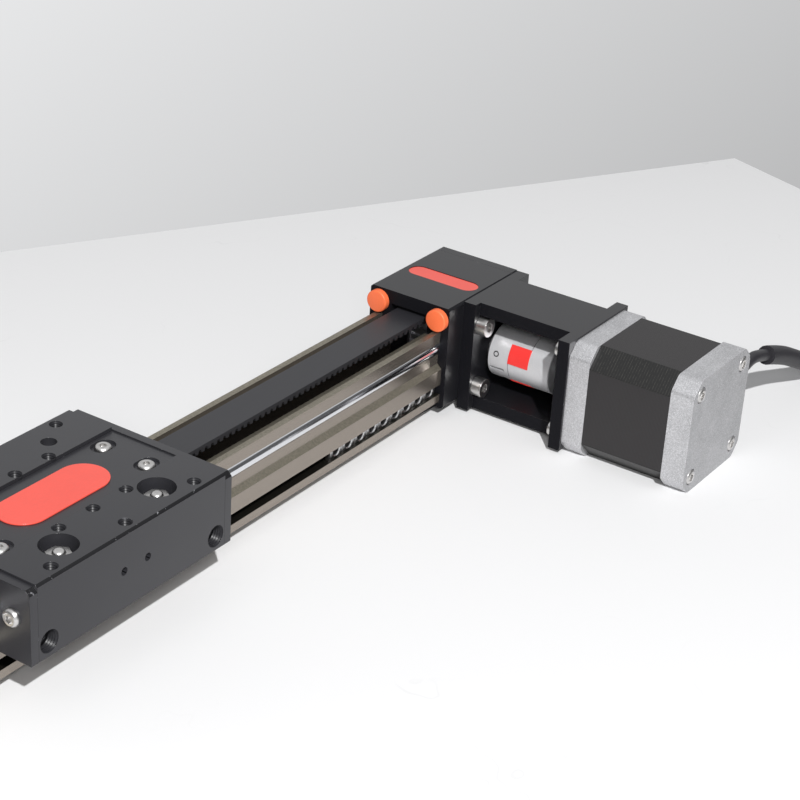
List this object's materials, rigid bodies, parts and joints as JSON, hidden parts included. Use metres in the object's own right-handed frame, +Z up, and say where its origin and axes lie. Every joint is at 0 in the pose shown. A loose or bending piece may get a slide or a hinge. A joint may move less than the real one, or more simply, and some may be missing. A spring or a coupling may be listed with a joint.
{
  "type": "motorized linear rail",
  "caption": "Belt-driven linear rail: an extruded rail with steel guide rods carries a roller carriage, pulled by a toothed belt from a side-mounted stepper motor.",
  "frame": {"origin": "where the rail meets the drive head, on the centre plane and on the surface below the pads", "axes": "+X along the rail towards the drive head, -Y towards the motor, +Z up"},
  "size_m": [0.6783, 0.2265, 0.0442],
  "materials": {
    "black_anodised": "matte black anodised, bead blasted",
    "carriage_black": "fine milled black anodised",
    "champagne_anodised": "satin champagne anodised, extruded",
    "raw_aluminium": "turned and brushed",
    "cast_bell": "blasted die casting",
    "lamination_black": "stacked laminations, black lacquer",
    "hardened_steel": "ground steel",
    "screw_steel": "zinc plated steel",
    "screw_black": "black oxide steel",
    "bearing_steel": "polished steel rings",
    "rotor_steel": "ground toothed iron",
    "enamelled_copper": "enamelled copper wire",
    "belt_rubber": "matte polyurethane",
    "bumper_rubber": "soft moulded rubber",
    "spider_red": "moulded elastomer",
    "label_red": "satin enamel",
    "wiper_felt": "pressed felt",
    "cable_sheath": "matte sleeve",
    "plug_plastic": "moulded nylon"
  },
  "bodies": {
    "frame": {"rail_extrusion": "champagne_anodised", "guide_rod_near": "hardened_steel", "guide_rod_far": "hardened_steel", "slot_nuts": "screw_steel", "drive_head_block": "black_anodised", "drive_end_plate": "black_anodised", "idler_block": "black_anodised", "idler_end_plate": "black_anodised", "head_label_inlay": "label_red", "end_plate_screws": "screw_black", "rail_tie_screws": "screw_black", "end_bumpers": "bumper_rubber", "drive_bearings": "bearing_steel", "drive_belt": "belt_rubber", "idler_axle": "hardened_steel", "tension_screws": "screw_steel", "motor_bracket": "black_anodised", "bracket_screws": "screw_steel", "motor_screws": "screw_steel", "motor_front_bell": "cast_bell", "motor_rear_bell": "cast_bell", "motor_stator": "lamination_black", "motor_windings": "enamelled_copper", "motor_rear_screws": "screw_steel", "motor_bearings": "bearing_steel", "cable_grommet": "cable_sheath", "cable_lead": "cable_sheath", "cable_sleeve": "cable_sheath", "cable_coil": "cable_sheath", "cable_plug": "plug_plastic"},
    "carriage": {"carriage_body": "carriage_black", "carriage_cover_drive": "carriage_black", "carriage_cover_idler": "carriage_black", "carriage_cover_screws": "screw_black", "rod_wipers": "wiper_felt", "belt_clamp_bars": "raw_aluminium", "belt_clamp_screws": "screw_black", "carriage_label": "label_red", "carriage_side_screws": "screw_steel", "roller_axles_fixed": "screw_steel", "roller_axles_adjusted": "screw_steel", "eccentric_bushes": "screw_steel", "axle_nuts": "screw_steel"},
    "drive_train": {"drive_pulley": "raw_aluminium", "drive_shaft": "hardened_steel", "coupling_hub_drive": "raw_aluminium", "coupling_hub_motor": "raw_aluminium", "coupling_spider": "spider_red", "coupling_screws": "screw_black", "motor_rotor": "rotor_steel", "motor_shaft": "hardened_steel"},
    "idler_wheel": {"idler_pulley": "raw_aluminium", "idler_bearings": "bearing_steel"},
    "roller_near_drive": {"roller_near_drive": "bearing_steel"},
    "roller_near_idler": {"roller_near_idler": "bearing_steel"},
    "roller_far_drive": {"roller_far_drive": "bearing_steel"},
    "roller_far_idler": {"roller_far_idler": "bearing_steel"}
  },
  "joints": [
    {"name": "carriage_slide", "type": "slide", "parent": "frame", "child": "carriage", "axis": [1, 0, 0], "range_m": [-0.1733, 0.1363]},
    {"name": "drive_spin", "type": "hinge", "parent": "frame", "child": "drive_train", "pos_m": [0.0262, 0, 0.02115], "axis": [0, 1, 0], "range_deg": [-700, 550]},
    {"name": "idler_spin", "type": "hinge", "parent": "frame", "child": "idler_wheel", "pos_m": [-0.4163, 0, 0.02115], "axis": [0, 1, 0], "range_deg": [-700, 550]},
    {"name": "roller_near_drive_spin", "type": "hinge", "parent": "carriage", "child": "roller_near_drive", "pos_m": [-0.161, -0.021, 0.0273], "axis": [0, 0, 1], "range_deg": [-1560, 1230]},
    {"name": "roller_near_idler_spin", "type": "hinge", "parent": "carriage", "child": "roller_near_idler", "pos_m": [-0.202, -0.021, 0.0273], "axis": [0, 0, 1], "range_deg": [-1560, 1230]},
    {"name": "roller_far_drive_spin", "type": "hinge", "parent": "carriage", "child": "roller_far_drive", "pos_m": [-0.161, 0.021, 0.0273], "axis": [0, 0, 1], "range_deg": [-1230, 1560]},
    {"name": "roller_far_idler_spin", "type": "hinge", "parent": "carriage", "child": "roller_far_idler", "pos_m": [-0.202, 0.021, 0.0273], "axis": [0, 0, 1], "range_deg": [-1230, 1560]}
  ],
  "couplings": [
    {"joint": "drive_spin", "follows": "carriage_slide", "rad_per_m": 69.813},
    {"joint": "idler_spin", "follows": "carriage_slide", "rad_per_m": 69.813},
    {"joint": "roller_near_drive_spin", "follows": "carriage_slide", "rad_per_m": 156.25},
    {"joint": "roller_near_idler_spin", "follows": "carriage_slide", "rad_per_m": 156.25},
    {"joint": "roller_far_drive_spin", "follows": "carriage_slide", "rad_per_m": -156.25},
    {"joint": "roller_far_idler_spin", "follows": "carriage_slide", "rad_per_m": -156.25}
  ]
}
